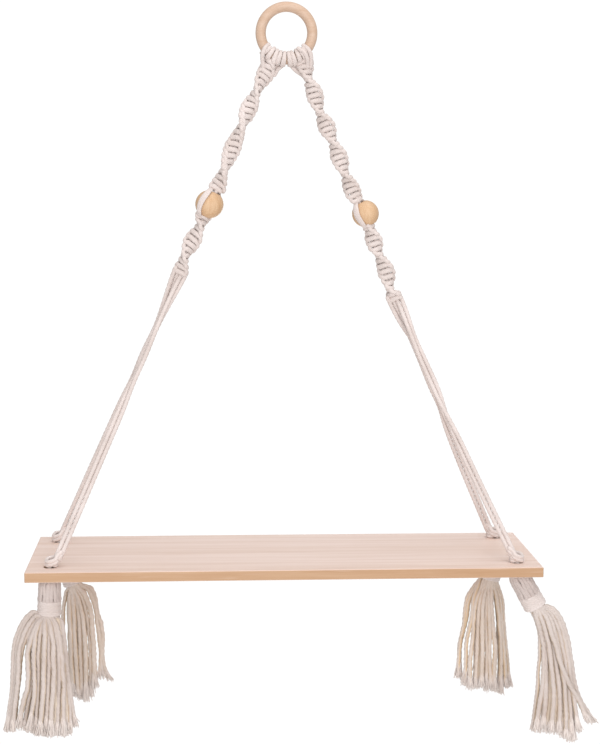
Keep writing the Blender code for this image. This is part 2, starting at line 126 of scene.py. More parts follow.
LEFT_SLOPES = [
    Slope(-0.060, 0.10),
    Slope(-0.075, 0.10),
    Slope(-0.085, -0.20),
    Slope(-0.150, -0.30),
    Slope(-0.165, 0.15),
    Slope(-0.200, 0.05),
]
RIGHT_SLOPES = [Slope(-0.060, 0.0), Slope(-0.270, -0.06)]

# Where the cord that shows passes round each bead, in the picture's pixels, with half its width in metres
Over = namedtuple("Over", "across down half")

LEFT_OVER = [
    Over(213, 187, 0.0021),
    Over(208.5, 191.5, 0.0030),
    Over(204, 197, 0.0033),
    Over(200.6, 203, 0.0031),
    Over(199, 208.5, 0.0028),
    Over(199.2, 213.5, 0.0024),
    Over(200.4, 218.5, 0.0022),
    Over(201.2, 223, 0.0021),
]
RIGHT_OVER = [
    Over(356.4, 202, 0.0021),
    Over(355.6, 206, 0.0030),
    Over(356, 211, 0.0034),
    Over(357.3, 216, 0.0033),
    Over(359.8, 220.5, 0.0031),
    Over(363.3, 225, 0.0026),
    Over(366.8, 230, 0.0021),
]

# Cords that run between the ring and the top of a braid: pixels of the picture and depths in metres
LEFT_TIES = [
    [(284, 62, 0.0052), (281.5, 66, 0.0040), (277.5, 69.5, 0.0018), (274.5, 75, 0.0004)],
    [(279, 60, 0.0030), (277, 64, 0.0030), (273.5, 68, 0.0015), (271, 73, 0.0004)],
    [(268.5, 44.5, -0.0040), (265, 48, -0.0074), (262.6, 54, -0.0070), (262.4, 60, -0.0045),
        (263.5, 67, -0.0010)],
]
RIGHT_TIES = [
    [(290, 62, 0.0052), (292, 66.5, 0.0044), (296.5, 71, 0.0034), (303.5, 76, 0.0024), (306.5, 80, 0.0022)],
    [(295, 60, 0.0030), (296.5, 64.5, 0.0030), (299.5, 68.5, 0.0015), (304.5, 74, 0.0004)],
    [(303.5, 45.5, -0.0040), (308, 49, -0.0074), (310.6, 54, -0.0070), (311.2, 60, -0.0045),
        (310.5, 67, -0.0010)],
    [(298.5, 48.5, -0.0060), (303.5, 51.5, -0.0076), (306.6, 56.5, -0.0072), (307.6, 62, -0.0045),
        (307, 68, -0.0020)],
]

Side = namedtuple("Side", "name sign upper lower slopes loose over behind ties bead_x bead_z bead_diameter")

SIDES = [
    Side(
        "left", -1, LEFT_UPPER, LEFT_LOWER, LEFT_SLOPES, LEFT_LOOSE, LEFT_OVER, 0.55, LEFT_TIES,
        -0.0748, -0.1850, 0.0276,
    ),
    Side(
        "right", 1, RIGHT_UPPER, RIGHT_LOWER, RIGHT_SLOPES, RIGHT_LOOSE, RIGHT_OVER, 0.3, RIGHT_TIES,
        0.0786, -0.1936, 0.0264,
    ),
]

Corner = namedtuple("Corner", "name sign depth knot_x knot_half knot_low neck_x neck_z")

CORNERS = [
    Corner("front_left", -1, -1, -0.2262, 0.0084, 0.30, -0.2309, -0.5800),
    Corner("front_right", 1, -1, 0.2259, 0.0072, 0.70, 0.2462, -0.5782),
    Corner("rear_left", -1, 1, -0.2305, 0.0070, 0.70, -0.2150, -0.5775),
    Corner("rear_right", 1, 1, 0.2222, 0.0070, 0.70, 0.2190, -0.5775),
]

# Where the strands that show run in the picture, from the binding down, in its pixels. Behind is 1 where four
# more lie behind one and 0 where none does. Forward is how far it stands out from the tassel's round.
Lock = namedtuple("Lock", "behind forward places")
LOCKS = {
    "front_left": [
        Lock(0, 0.3, [(40, 613), (33, 612.4), (25.5, 618), (18.8, 630), (14, 650), (12.2, 690), (9.4, 710),
            (6.3, 731)]),
        Lock(0, -1.0, [(40, 612), (33, 614), (26, 622), (20.5, 637), (17, 655), (14.3, 690), (11.5, 711),
            (9, 731)]),
        Lock(0, 0.8, [(41, 613), (35, 616.5), (28, 626), (22.3, 641), (18.9, 657), (16.4, 688), (14.4, 710),
            (13, 732)]),
        Lock(0, -2.0, [(41, 614), (36, 620), (30.5, 629), (25.2, 641), (21.2, 655), (18.2, 680),
            (15.6, 706), (13.5, 729)]),
        Lock(0, -1.5, [(42, 614), (36.5, 621), (30, 631), (28, 644), (29, 657), (31.5, 670), (30.4, 690),
            (26.8, 707), (24, 731)]),
        Lock(0, 0.4, [(42, 614), (37.5, 622), (32, 636), (27.8, 652), (27.8, 664), (28, 677), (27, 689),
            (22.6, 705), (18.4, 729)]),
        Lock(1, 1.0, [(43, 615), (39, 624), (35.5, 636), (34.2, 655), (34.8, 690), (31.5, 712), (28.5, 733)]),
        Lock(1, -0.9, [(44, 615), (41.5, 628), (39.2, 650), (38.6, 690), (35, 735)]),
        Lock(1, 1.4, [(45, 615), (44.6, 630), (43.8, 650), (42.4, 690), (39.4, 735.5)]),
        Lock(1, -0.4, [(47, 615), (48, 630), (49, 650), (47.6, 690), (45.8, 736)]),
        Lock(1, 1.2, [(48.5, 615), (50.5, 628), (53, 650), (52.8, 690), (51, 736)]),
        Lock(1, -0.5, [(51.5, 615), (54, 628), (57, 650), (58.2, 690), (57.4, 736)]),
        Lock(1, 1.1, [(54.5, 615), (57.6, 630), (60.8, 650), (63.4, 690), (63.6, 736)]),
        Lock(1, -0.2, [(57.5, 613.5), (60.8, 627), (63.6, 648), (67.6, 690), (69.6, 710), (70, 733)]),
        Lock(0, 0.7, [(59, 612), (62, 624), (65, 647), (70, 690), (72.4, 708), (75.6, 726)]),
    ],
    "rear_left": [
        Lock(0, 0.4, [(67, 587), (65, 600), (63.6, 620), (64.2, 650), (68, 690)]),
        Lock(1, 1.1, [(70, 588), (69.5, 600), (70, 625), (71.5, 655), (73.5, 693)]),
        Lock(1, 0.0, [(71.5, 588), (73.5, 600), (75, 625), (76.2, 655), (78.5, 698)]),
        Lock(1, -1.0, [(73, 588), (77, 600), (80, 625), (80.7, 655), (83, 700)]),
        Lock(1, 1.2, [(74, 588), (79.5, 602), (83.8, 625), (85.2, 655), (86.4, 701)]),
        Lock(0, -0.4, [(76, 588), (82.4, 599), (87.6, 622), (89.8, 655), (91.4, 696)]),
        Lock(0, 0.9, [(78, 587), (83.4, 592.5), (87.2, 601), (91, 614), (92.2, 627), (93.6, 641),
            (94.4, 660), (95.4, 688)]),
        Lock(0, 0.4, [(80, 586), (87.5, 589.5), (92.8, 599), (96.2, 613), (98.2, 627), (100.2, 640),
            (100.6, 655), (100.4, 678)]),
        Lock(0, 0.9, [(81, 585.5), (90.5, 588.5), (95.2, 599), (97.2, 611), (100.8, 624), (102.2, 634),
            (101.8, 650), (102.8, 663), (106, 672), (110.5, 680)]),
    ],
    "rear_right": [
        Lock(0, 0.3, [(475, 585), (468.5, 595), (466, 603), (464.4, 620), (460.2, 642), (459.2, 660),
            (457.4, 677)]),
        Lock(0, -1.2, [(477, 586), (470.5, 596), (467.6, 605), (465.2, 623), (460.8, 643), (459.8, 661),
            (459.2, 678)]),
        Lock(0, 0.6, [(478, 586), (473.6, 598), (472.4, 609), (471.6, 621), (467.8, 641), (466.3, 662),
            (464.4, 685)]),
        Lock(0, 0.9, [(481, 588), (476, 603), (474, 630), (471, 655), (469.6, 689)]),
        Lock(1, -0.6, [(483, 588), (479, 605), (477.4, 630), (476.6, 658), (475.4, 689)]),
        Lock(1, 1.1, [(486, 588), (483.2, 605), (482.6, 630), (482.2, 655), (481.4, 688)]),
        Lock(0, -0.4, [(487.5, 588), (486.4, 605), (486, 628), (486.2, 655), (486.4, 690)]),
        Lock(0, 0.6, [(488.5, 588), (488.8, 605), (489.2, 628), (489.4, 652), (490.4, 668), (490.8, 690)]),
        Lock(0, 1.0, [(491.5, 588), (491.6, 604), (494, 624), (495.2, 646), (494.2, 668), (493.6, 692)]),
        Lock(1, -0.3, [(494, 587), (497, 604), (499.4, 628), (500.6, 655), (500.2, 693)]),
        Lock(0, 0.9, [(498, 586), (502.4, 601), (503.6, 620), (505.1, 641), (507.6, 660), (509.8, 687)]),
        Lock(0, 0.2, [(496.5, 587), (500.2, 602), (501.4, 622), (503.2, 643), (504.6, 662), (505.6, 689)]),
    ],
    "front_right": [
        Lock(0, 0.3, [(528.5, 606.5), (533, 614), (537, 624), (539.8, 640), (540, 660), (537.8, 690),
            (534.8, 708), (532.4, 731)]),
        Lock(0, 0.9, [(531, 609), (536.5, 620), (541.2, 640), (542.9, 658), (542.4, 684), (540, 700),
            (537.8, 716), (536.6, 732)]),
        Lock(1, -0.7, [(533.5, 609), (540, 624), (545.2, 648), (546.6, 678), (545, 704), (542.6, 731)]),
        Lock(1, 1.1, [(536, 608), (543, 623), (549.4, 646), (552.8, 677), (553.4, 704), (550.6, 733)]),
        Lock(1, -0.6, [(538, 607), (546.5, 622), (553.5, 645), (558, 676), (559.6, 704), (558.4, 735)]),
        Lock(1, 1.0, [(540, 606.5), (549, 618), (556.6, 642), (562.4, 674), (565.6, 703), (566, 740)]),
        Lock(1, -0.4, [(540.5, 606), (550.5, 614), (559, 633), (565, 664), (569.6, 700), (572.6, 740)]),
        Lock(0, 0.7, [(541, 606), (549, 609.5), (556.5, 617), (562.6, 632), (567.4, 654), (572, 686),
            (579, 731)]),
        Lock(0, 0.8, [(541, 605.5), (548.5, 607), (555, 611), (560.6, 619.5), (566.2, 635), (571, 658),
            (575, 684), (581.5, 702.5), (594, 722)]),
        Lock(0, 2.0, [(538, 607), (546, 617), (552.5, 638), (559.5, 662), (569, 684), (579, 701),
            (589, 724)]),
    ],
}

# Cords and strands

PICTURE_WIDTH = 600
PICTURE_HEIGHT = 744
THREAD_TWIST = 420.0  # how far a cord's threads turn round it in a metre
THREAD_STRETCH = 60.0  # how often their pattern changes along it in a metre
PLY_LAY = 2.4  # length between two plies on one side of a cord, in its radii
TAUT_CORD = 0.0021  # half the width of a cord that is drawn tight
CORE_CORD = 0.0019  # half the width of a braid's core cords
RAIL_ACROSS = 0.0069  # half the width of a braid, over its working cords' middles
RAIL_DEEP = 0.0034  # half the thickness of a braid, over the same
BAR_WIDTH = 0.0026  # half the width of a working cord on the braid's face
BAR_THICKNESS = 0.0015  # half its thickness there
LEAN_ACROSS = 0.005  # the width over which a bar's lean counts
OVER_THICKNESS = 0.0014  # half the least thickness of a cord that passes round a bead
OVER_WIDTH = 0.0030  # half the width that it has there
COLLAR_RADIUS = 0.0046  # the loop of cord under a bead
HOLE_REACH = 0.0035  # how near a hole's middle a cord can sink into it
STRAND_RADIUS = 0.0024
STRAND_POINTS = 24  # places along a strand before it is smoothed
SHEATH_STRANDS = 17  # cords that show round a tassel's head
SHEATH_THICKNESS = 0.0016  # half their thickness
HEAD_CORE = 0.0086  # radius of the cords inside a head
ROOT_REACH = 0.0082  # how far from the neck's middle a strand starts, inside the binding
BROW_REACH = 0.0092  # how far from it a strand passes the binding's lower edge
INNER_BROW_REACH = 0.0068  # the same for a strand that was put between two that show
NECK_REACH = 0.0115  # how far from it, in view, the strands spread there at most
LEAST_DEPTH = 0.0095  # half the least thickness of a tassel
FORWARD_STEP = 0.0024  # how far forward a lock stands for a forward of 1
BINDING_TURNS = 7
THREADS = 34  # threads that a strand's end comes apart into
THREAD_RADIUS = 0.00046
FRAY = 0.019  # how far up an end is frayed
CORD_END = 0.006  # how far above its threads' ends a strand's own cord ends
FLOOR_RADIUS = 1.1
FLOOR_HEIGHT = -1.2

# How far back the strands of a lock lie, front to back, in the tassel's half thickness: for a lock alone, one
# with four more behind it, and one put between two that show
ROWS = ((-1.0,), (-1.0, -0.5, 0.05, 0.55, 1.0), (-1.0, 0.3, 1.0))

# One half knot: how a working cord crosses the braid's front and becomes its right rail, in metres across and
# deep, and in knots down. The next half is the same turned half round, one knot lower.
Stage = namedtuple("Stage", "across deep down")
HALF_KNOT = [
    Stage(-0.0047, -0.0024, -0.02),
    Stage(-0.0026, -0.0029, 0.00),
    Stage(0.0000, -0.0030, 0.02),
    Stage(0.0026, -0.0028, 0.05),
    Stage(0.0044, -0.0019, 0.12),
    Stage(0.0057, -0.0009, 0.24),
    Stage(0.0066, -0.0008, 0.42),
    Stage(0.0069, -0.0009, 0.65),
    Stage(0.0069, -0.0004, 0.85),
    Stage(0.0062, 0.0011, 0.97),
]

rng = np.random.default_rng(7)

# The camera: its place, its focal length in the picture's pixels, and its directions right, ahead and up
CAMERA_PLACE = np.array((-0.08141, -1.52134, -0.15960))
FOCAL = 1544.14
CAMERA_TURN = np.array(
    Matrix.Rotation(-0.06318, 3, "Z") @ Matrix.Rotation(-0.12461, 3, "X") @ Matrix.Rotation(-0.00527, 3, "Y")
)

RING_CENTRE = np.array((0, 0, RING_SECTION - RING_OUTER / 2))
RING_RADIUS = (RING_OUTER - RING_SECTION) / 2
RIGHTWARDS = np.array((1.0, 0, 0))
BACKWARDS = np.array((0, 1.0, 0))
UPWARDS = np.array((0, 0, 1.0))
GOLDEN_ANGLE = math.pi * (3 - math.sqrt(5))
LIT_PLACE = np.array((0, 0, -0.35))


def unit(v):
    """Directions made 1 long."""
    return v / np.linalg.norm(v, axis=-1, keepdims=True)


def full_turn(count):
    """Angles all the way round, evenly spaced."""
    return np.arange(count) * 2 * math.pi / count


def turned(angle, across):
    """The direction at an angle from across towards the wall."""
    angle = np.asarray(angle)[..., None]
    return np.cos(angle) * across + np.sin(angle) * BACKWARDS


def reach_along(route):
    """How far down a route each of its points is."""
    return np.concatenate([[0], np.cumsum(np.linalg.norm(np.diff(route, axis=0), axis=1))])


def spline(points, spacing=None, count=None):
    """Points on a smooth curve through rows of numbers, by distance over their first three columns."""
    points = np.asarray(points, float)
    reach = reach_along(points[:, :3])
    if count is None:
        count = max(3, int(math.ceil(reach[-1] / spacing)) + 1)
    padded = np.concatenate([[2 * points[0] - points[1]], points, [2 * points[-1] - points[-2]]])
    want = np.linspace(0, reach[-1], count)
    i = np.clip(np.searchsorted(reach, want, side="right") - 1, 0, len(points) - 2)
    t = ((want - reach[i]) / (reach[i + 1] - reach[i]))[:, None]
    a, b, c, d = (padded[i + k] for k in range(4))
    return (2 * b + (c - a) * t + (2 * a - 5 * b + 4 * c - d) * t**2 + (3 * b - a - 3 * c + d) * t**3) / 2


def directions(route):
    """The unit tangents of a route."""
    return unit(np.gradient(route, axis=0))


def carried(route, first):
    """A direction square to the route that starts near first and turns as little as it can."""
    tangents = directions(route)
    out = np.empty_like(route)
    last = np.asarray(first, float)
    for i, t in enumerate(tangents):
        last = last - t * last.dot(t)
        last = last / np.linalg.norm(last)
        out[i] = last
    return out


def smooth(values, width):
    """A moving average over an odd width that keeps the ends."""
    padded = np.pad(values, ((width // 2, width // 2), (0, 0)), "edge")
    kernel = np.ones(width) / width
    return np.stack([np.convolve(column, kernel, "valid") for column in padded.T], 1)


def ray_of(across, down):
    """The camera's direction to a pixel of the picture."""
    beside, above = across - PICTURE_WIDTH / 2, PICTURE_HEIGHT / 2 - down
    return CAMERA_TURN @ np.array((beside / FOCAL, 1.0, above / FOCAL))


def on_plane(across, down, depth):
    """The place at a depth that the camera sees at a pixel of the picture."""
    ray = ray_of(across, down)
    return CAMERA_PLACE + ray * (depth - CAMERA_PLACE[1]) / ray[1]


def on_ball(across, down, centre, radius):
    """The place on the near side of a ball that the camera sees at a pixel, or its place nearest to that."""
    ray = unit(ray_of(across, down))
    nearest = CAMERA_PLACE + ray * ((centre - CAMERA_PLACE) @ ray)
    miss = np.linalg.norm(nearest - centre)
    if miss < radius:
        return nearest - ray * math.sqrt(radius**2 - miss**2)
    return centre + (nearest - centre) * radius / miss


def linked(name, data):
    """A new object for the data, in the scene."""
    made = bpy.data.objects.new(name, data)
    bpy.context.scene.collection.objects.link(made)
    return made


def dress(made, node):
    """Puts the piece in a node's place, on the shelf's one body."""
    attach(made, "root")
    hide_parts(node)


class Skein:
    """Cords gathered into one mesh, with a UV map that runs round and along each."""

    def __init__(self):
        self.points = []
        self.quads = []
        self.quad_uv = []
        self.fans = []
        self.fan_uv = []
        self.count = 0

    def add(self, route, wide, thick=None, facing=None, sides=12, round_ends=True, plies=0.0):
        """A cord of oval section along the route. Thick is its half size along facing, wide its half size
        square to that. Plies is how far its three twisted plies stand out, as a share of that."""
        route = np.asarray(route, float)
        n = len(route)
        wide = np.broadcast_to(np.asarray(wide, float), n)
        thick = wide if thick is None else np.broadcast_to(np.asarray(thick, float), n)
        tangents = directions(route)
        if facing is None:
            start = BACKWARDS if abs(tangents[0][1]) < 0.9 else RIGHTWARDS
            facing = carried(route, start)
        facing = unit(facing - tangents * (facing * tangents).sum(1, keepdims=True))
        side = np.cross(tangents, facing)
        if round_ends:
            ends = np.r_[0, 0, 0:n, n - 1, n - 1]
            past = np.r_[-0.9, -0.6, np.zeros(n), 0.6, 0.9] * np.minimum(wide, thick)[ends]
            slim = np.r_[0.42, 0.8, np.ones(n), 0.8, 0.42]
            route = route[ends] + tangents[ends] * past[:, None]
            facing, side, wide, thick = facing[ends], side[ends], wide[ends] * slim, thick[ends] * slim
            n += 4
        turn = full_turn(sides)
        along = reach_along(route) + rng.uniform(0, 5)
        lay = 2 * math.pi * along / (PLY_LAY * np.median(wide))
        bulge = 1 - plies * 0.5 + plies * np.cos(3 * (turn[None, :] + lay[:, None] / 3))
        rings = (
            route[:, None]
            + facing[:, None] * (thick[:, None] * np.cos(turn) * bulge)[..., None]
            + side[:, None] * (wide[:, None] * np.sin(turn) * bulge)[..., None]
        )
        base = self.count
        self.points += [rings.reshape(-1, 3), route[[0, -1]]]
        self.count += n * sides + 2
        i = np.arange(n - 1)[:, None]
        k = np.arange(sides)
        k2 = (k + 1) % sides
        low, high = base + i * sides, base + (i + 1) * sides
        self.quads.append(np.stack([low + k, low + k2, high + k2, high + k], -1).reshape(-1, 4))
        u0, u1, v0, v1 = np.broadcast_arrays(k / sides, (k + 1) / sides, along[:-1, None], along[1:, None])
        self.quad_uv.append(np.stack([u0, v0, u1, v0, u1, v1, u0, v1], -1).reshape(-1, 8))
        first = base + n * sides
        last = first - sides
        fans = (base + k2, base + k, first, along[0]), (last + k, last + k2, first + 1, along[-1])
        for a, b, tip, v in fans:
            self.fans.append(np.stack([a, b, np.full(sides, tip)], -1))
            flat = np.full(sides, v)
            self.fan_uv.append(np.stack([u0[0], flat, u1[0], flat, u0[0], flat], -1))

    def object(self, name, finish):
        """The cords' mesh as an object."""
        points = np.concatenate(self.points)
        quads = np.concatenate(self.quads)
        fans = np.concatenate(self.fans)
        mesh = bpy.data.meshes.new(name)
        mesh.vertices.add(len(points))
        mesh.vertices.foreach_set("co", points.ravel())
        corners = np.concatenate([quads.ravel(), fans.ravel()])
        mesh.loops.add(len(corners))
        mesh.loops.foreach_set("vertex_index", corners.astype(np.int32))
        totals = np.repeat([4, 3], [len(quads), len(fans)])
        starts = np.cumsum(totals) - totals
        mesh.polygons.add(len(totals))
        mesh.polygons.foreach_set("loop_start", starts.astype(np.int32))
        mesh.polygons.foreach_set("loop_total", totals.astype(np.int32))
        mesh.polygons.foreach_set("use_smooth", np.ones(len(totals), bool))
        layer = mesh.uv_layers.new(name="cord")
        uv = np.concatenate([np.concatenate(self.quad_uv).ravel(), np.concatenate(self.fan_uv).ravel()])
        layer.uv.foreach_set("vector", uv.astype(np.float32))
        mesh.update()
        mesh.validate()
        mesh.materials.append(finish)
        return linked(name, mesh)


# Materials


def srgb(red, green, blue):
    """A linear colour from the 0 to 255 one seen in a picture."""
    out = []
    for value in (red, green, blue):
        value /= 255
        out.append(value / 12.92 if value <= 0.04045 else ((value + 0.055) / 1.055) ** 2.4)
    return (*out, 1)


class Graph:
    """A material's nodes, made and joined in short lines."""

    def __init__(self, name):
        self.material = bpy.data.materials.new(name)
        self.material.use_nodes = True
        self.tree = self.material.node_tree
        self.shader = self.tree.nodes["Principled BSDF"]

    def give(self, node, given):
        """Sets a node's inputs to values, or joins them to sockets."""
        for name, value in given.items():
            if isinstance(value, bpy.types.NodeSocket):
                self.tree.links.new(value, node.inputs[name])
            else:
                node.inputs[name].default_value = value
        return node

    def node(self, kind, given=None, **settings):
        made = self.tree.nodes.new(kind)
        for key, value in settings.items():
            setattr(made, key, value)
        return self.give(made, given or {})

    def math(self, operation, a, b=0.0, c=0.0):
        return self.node("ShaderNodeMath", {0: a, 1: b, 2: c}, operation=operation).outputs[0]

    def noise(self, vector, scale, detail=2.0, roughness=0.5, distortion=0.0):
        given = {"Scale": scale, "Detail": detail, "Roughness": roughness, "Distortion": distortion}
        return self.node("ShaderNodeTexNoise", {"Vector": vector, **given}).outputs["Fac"]

    def mapped(self, vector, change, value):
        """The vector with its Scale or Location changed."""
        return self.node("ShaderNodeMapping", {"Vector": vector, change: value}).outputs["Vector"]

    def spread(self, value, low, high):
        """The value's range from low to high made 0 to 1."""
        given = {"Value": value, "From Min": low, "From Max": high}
        return self.node("ShaderNodeMapRange", given).outputs["Result"]

    def mix(self, share, a, b):
        return self.node("ShaderNodeMix", {"Factor": share, 6: a, 7: b}, data_type="RGBA").outputs[2]

    def bump(self, height, distance, strength=1.0, **after):
        given = {"Height": height, "Distance": distance, "Strength": strength, **after}
        return self.node("ShaderNodeBump", given).outputs["Normal"]


def cotton_material(name, light, dark, depth=1.0, painted_gap_shade=None):
    """Soft cotton cord: fine threads that run round it in a slow helix, with uneven tone. The last colour,
    where
    given, is painted shade on its flanks: a darker, warmer colour for the shade between strands side by side."""
    g = Graph(name)
    place = g.node("ShaderNodeUVMap", uv_map="cord")
    split = g.node("ShaderNodeSeparateXYZ", {0: place.outputs["UV"]})
    round_, along = split.outputs[:2]
    angle = g.math("MULTIPLY_ADD", round_, 2 * math.pi, g.math("MULTIPLY", along, THREAD_TWIST))
    stretched = g.math("MULTIPLY", along, THREAD_STRETCH)
    parts = {0: g.math("COSINE", angle), 1: g.math("SINE", angle), 2: stretched}
    wrapped = g.node("ShaderNodeCombineXYZ", parts).outputs[0]
    threads = g.noise(wrapped, 5.5, 3.0, 0.65)
    plies = g.noise(wrapped, 1.7, 1.0, 0.4)
    where = g.node("ShaderNodeTexCoord").outputs["Object"]
    patches = g.noise(where, 38.0, 2.0, 0.5)
    fuzz = g.noise(where, 2600.0, 2.0, 0.7)
    tone = g.math("ADD", g.math("MULTIPLY", threads, 0.55), g.math("MULTIPLY", patches, 0.45))
    colour = g.mix(g.spread(tone, 0.36, 0.64), srgb(*dark), srgb(*light))
    # painted shade: the flanks take the darker, warmer colour, for the shade between neighbouring strands
    if painted_gap_shade:
        outward = g.math("ABSOLUTE", g.math("COSINE", g.math("MULTIPLY", round_, 2 * math.pi)))
        colour = g.mix(g.spread(outward, 0.0, 0.7), srgb(*painted_gap_shade), colour)
    relief = g.bump(plies, depth * 0.0003)
    relief = g.bump(threads, depth * 0.0003, Normal=relief)
    relief = g.bump(fuzz, 0.00008, 0.7, Normal=relief)
    g.give(g.shader, {
        "Base Color": colour,
        "Roughness": g.math("MULTIPLY_ADD", threads, 0.12, 0.84),
        "Specular IOR Level": 0.18,
        "Sheen Weight": 0.25,
        "Sheen Roughness": 0.55,
        "Sheen Tint": srgb(255, 246, 240),
        "Normal": relief,
    })
    return g.material


def wood_material(name, face, line, grain, rough, centre=(0, 0, 0), edge=None, edge_line=None):
    """Fine straight grain. Grain gives how the pattern is stretched, smallest along the fibres. Edge and its
    line colour the faces that don't look up or down, where they differ."""
    face, line, edge, edge_line = (srgb(*c) for c in (face, line, edge or face, edge_line or line))
    g = Graph(name)
    where = g.node("ShaderNodeTexCoord").outputs["Object"]
    moved = g.mapped(where, "Location", [-c for c in centre])
    wide, fine, pores = (g.mapped(moved, "Scale", [k * s for s in grain]) for k in (1.0, 5.0, 14.0))
    wide = g.noise(wide, 1.0, 3.0, 0.55, 0.6)
    fine = g.noise(fine, 1.0, 3.0, 0.65, 0.2)
    pores = g.noise(pores, 1.0, 1.0, 0.5)
    bands = g.spread(g.math("ADD", g.math("MULTIPLY", wide, 0.6), g.math("MULTIPLY", fine, 0.4)), 0.38, 0.66)
    up = g.node("ShaderNodeSeparateXYZ", {0: g.node("ShaderNodeTexCoord").outputs["Normal"]})
    level = g.spread(g.math("ABSOLUTE", up.outputs[2]), 0.5, 0.8)
    colour = g.mix(level, g.mix(bands, edge, edge_line), g.mix(bands, face, line))
    speck = g.spread(pores, 0.62, 0.78)
    colour = g.mix(g.math("MULTIPLY", speck, 0.22), colour, line)
    relief = g.bump(fine, 0.00006, 0.6)
    relief = g.bump(pores, 0.00004, 0.5, Normal=relief)
    g.give(g.shader, {
        "Base Color": colour,
        "Roughness": g.math("MULTIPLY_ADD", bands, 0.10, rough),
        "Specular IOR Level": 0.35,
        "Normal": relief,
    })
    return g.material


# Shapes


def place_of(stop):
    """Where a stop is, on the plane of the ring."""
    return np.array((stop.x, 0, stop.z))


def braid_frame(stops):
    """A function from knots down a braid to its middle, its wide direction and its thin one."""
    line = spline([place_of(s) for s in stops], count=400)
    length = reach_along(line)[-1]
    reach = np.linspace(0, length, len(line))
    turns = np.interp(-line[:, 2], [-s.z for s in stops], [s.turn for s in stops])
    turns = smooth(turns[:, None], 31)[:, 0]
    tangents = directions(line)

    def at(down):
        distance = np.asarray(down) * KNOT_PITCH
        beyond = distance - np.clip(distance, 0, length)
        centre = np.stack([np.interp(distance, reach, line[:, k]) for k in range(3)], -1)
        along = unit(np.stack([np.interp(distance, reach, tangents[:, k]) for k in range(3)], -1))
        centre = centre + along * beyond[..., None]
        across = np.cross(along, BACKWARDS)
        turn = math.pi * np.interp(distance, reach, turns)
        return centre, turned(turn, across), turned(turn + math.pi / 2, across)

    return at, length


def braid(skein, side, stops):
    """A braid of half knots round two core cords."""
    at, length = braid_frame(stops)
    knots = int(round(length / KNOT_PITCH))
    for start in (0, 1):
        stages = []
        for knot in range(start - 2, knots + 2):
            half = 1 if (knot - start) % 2 == 0 else -1
            height = at(np.array([float(knot)]))[0][0, 2]
            lean = np.interp(-height, [-s.z for s in side.slopes], [s.lean for s in side.slopes])
            lean += rng.uniform(-0.06, 0.06)
            pull = rng.uniform(0.95, 1.05)
            for stage in HALF_KNOT:
                down = knot + stage.down + lean * stage.across / LEAN_ACROSS
                if -0.75 < down < knots + 0.35:
                    stages.append((half * stage.across * pull, half * stage.deep, (down + 0.5) * KNOT_PITCH))
        local = spline(stages, spacing=0.0007)
        centre, wide, thin = at(local[:, 2] / KNOT_PITCH - 0.5)
        route = centre + wide * local[:, :1] + thin * local[:, 1:2]
        out_across = local[:, 0] / RAIL_ACROSS**2
        out_deep = local[:, 1] / RAIL_DEEP**2
        facing = unit(wide * out_across[:, None] + thin * out_deep[:, None])
        facing = unit(smooth(facing, 5))
        edge = np.clip((np.abs(local[:, 0]) - 0.0035) / 0.003, 0, 1)
        skein.add(route, BAR_WIDTH - 0.0005 * edge, BAR_THICKNESS + 0.0004 * edge, facing, plies=0.045)
    for way in (-1, 1):
        down = np.linspace(-0.6, knots + 0.4, 3 * knots)
        centre, wide, thin = at(down)
        skein.add(centre + way * CORE_CORD * wide, CORE_CORD, sides=8)


def ring_wraps(skein, side):
    """The cord's turns round the ring, flattened against the wood."""
    turn = np.linspace(-0.1, WRAPS - 0.4, 40 * WRAPS)
    step = (WRAP_LAST - WRAP_FIRST) / WRAPS
    whole = np.floor(turn + 0.5)
    part = np.clip((turn + 0.5 - whole - 0.35) / 0.3, 0, 1)
    eased = np.clip(whole - 0.5 + part**2 * (3 - 2 * part), 0.5, WRAPS - 0.5)
    wobble = 0.7 * np.sin(eased * 2.3 + side.sign) + 1.2 * np.sin(2 * math.pi * turn) * np.sin(eased * 1.7)
    angle = np.radians(WRAP_FIRST - 1 + step * eased + wobble)
    outward = np.stack([side.sign * np.sin(angle), 0 * angle, -np.cos(angle)], 1)
    phase = 2 * math.pi * (turn - 0.25)
    normal = outward * np.cos(phase)[:, None] - BACKWARDS * np.sin(phase)[:, None]
    outer = 0.5 + 0.5 * np.cos(phase)
    thick = 0.00155 - 0.0002 * outer
    reach = RING_SECTION / 2 + 0.0001 + thick
    route = RING_CENTRE + RING_RADIUS * outward + normal * reach[:, None]
    wide = 0.00175 + 0.00105 * outer
    skein.add(route, wide, thick, normal, plies=0.04)


def bead_frame(side):
    """The bead's centre, the downward direction of its bore, and the direction across it in view."""
    centre = np.array((side.bead_x, 0, side.bead_z))
    along = unit(place_of(side.lower[0]) - place_of(side.upper[-1]))
    return centre, along, np.cross(along, BACKWARDS)


